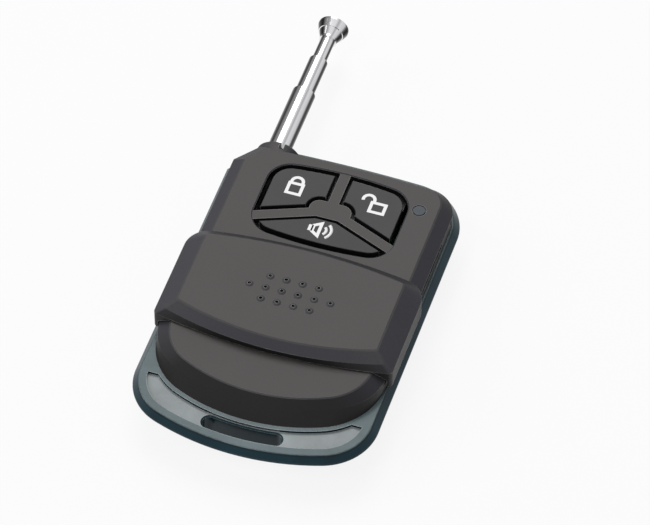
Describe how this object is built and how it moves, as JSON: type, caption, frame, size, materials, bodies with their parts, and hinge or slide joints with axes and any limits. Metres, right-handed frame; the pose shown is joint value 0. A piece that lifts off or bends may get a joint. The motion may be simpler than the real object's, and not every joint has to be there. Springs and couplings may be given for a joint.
{
  "type": "alarm key fob",
  "caption": "Alarm key fob with lock, unlock and alert keys, a sliding cover over them, a telescopic antenna and a key-ring slot.",
  "frame": {"origin": "on the flat back, at the middle of the case's length and width", "axes": "+Z out of the back towards the keys, +Y along the case towards the antenna's tip, +X to the right as the keys are read"},
  "size_m": [0.039, 0.0873, 0.0135],
  "materials": {
    "case_plastic": "fine texture",
    "base_plastic": "polished",
    "key_plastic": "fine texture",
    "lens": "polished",
    "board": "lacquered",
    "component_black": "moulded",
    "resistor_body": "glazed",
    "capacitor_body": "fired",
    "inductor_body": "dipped",
    "lamp_body": "clear",
    "can_metal": "plated",
    "plate_metal": "satin",
    "plunger_plastic": "moulded",
    "cell_jacket": "printed sleeve",
    "contact_metal": "nickel plated",
    "antenna_chrome": "bright",
    "bush_brass": "turned",
    "screw_steel": "zinc plated"
  },
  "bodies": {
    "case": {"alert_switch_base": "component_black", "alert_switch_plate": "plate_metal", "antenna_bracket": "contact_metal", "antenna_screw": "screw_steel", "antenna_sleeve": "antenna_chrome", "antenna_tail_plug": "bush_brass", "battery": "cell_jacket", "battery_contact_negative": "contact_metal", "battery_contact_positive": "contact_metal", "case_screws": "screw_steel", "chip_capacitors": "capacitor_body", "chip_resistors": "resistor_body", "circuit_board": "board", "encoder_chip": "component_black", "front_shell": "case_plastic", "indicator_lamp": "lamp_body", "indicator_lens": "lens", "loading_inductor": "inductor_body", "lock_switch_base": "component_black", "lock_switch_plate": "plate_metal", "rear_shell": "base_plastic", "resonator": "can_metal", "transistor": "component_black", "unlock_switch_base": "component_black", "unlock_switch_plate": "plate_metal"},
    "cover": {"slide_cover": "case_plastic"},
    "lock": {"lock_key": "key_plastic", "lock_switch_plunger": "plunger_plastic"},
    "unlock": {"unlock_key": "key_plastic", "unlock_switch_plunger": "plunger_plastic"},
    "alert": {"alert_key": "key_plastic", "alert_switch_plunger": "plunger_plastic"},
    "antenna_lower": {"antenna_tube_lower": "antenna_chrome", "antenna_bush_lower": "bush_brass"},
    "antenna_middle": {"antenna_tube_middle": "antenna_chrome", "antenna_bush_middle": "bush_brass"},
    "antenna_upper": {"antenna_tube_upper": "antenna_chrome", "antenna_bush_upper": "bush_brass", "antenna_cap": "antenna_chrome"}
  },
  "joints": [
    {"name": "cover_slide", "type": "slide", "parent": "case", "child": "cover", "axis": [0, 1, 0], "range_m": [0, 0.017]},
    {"name": "lock_press", "type": "slide", "parent": "case", "child": "lock", "axis": [0, 0, -1], "range_m": [0, 0.0003], "stiffness_N_per_m": 1500, "springref_m": -0.0004},
    {"name": "unlock_press", "type": "slide", "parent": "case", "child": "unlock", "axis": [0, 0, -1], "range_m": [0, 0.0003], "stiffness_N_per_m": 1500, "springref_m": -0.0004},
    {"name": "alert_press", "type": "slide", "parent": "case", "child": "alert", "axis": [0, 0, -1], "range_m": [0, 0.0003], "stiffness_N_per_m": 1500, "springref_m": -0.0004},
    {"name": "antenna_lower_slide", "type": "slide", "parent": "case", "child": "antenna_lower", "axis": [0, 1, 0], "range_m": [-0.01375, 0.0211]},
    {"name": "antenna_middle_slide", "type": "slide", "parent": "antenna_lower", "child": "antenna_middle", "axis": [0, 1, 0], "range_m": [-0.00735, 0.0239]},
    {"name": "antenna_upper_slide", "type": "slide", "parent": "antenna_middle", "child": "antenna_upper", "axis": [0, 1, 0], "range_m": [-0.0046, 0.0229]}
  ]
}
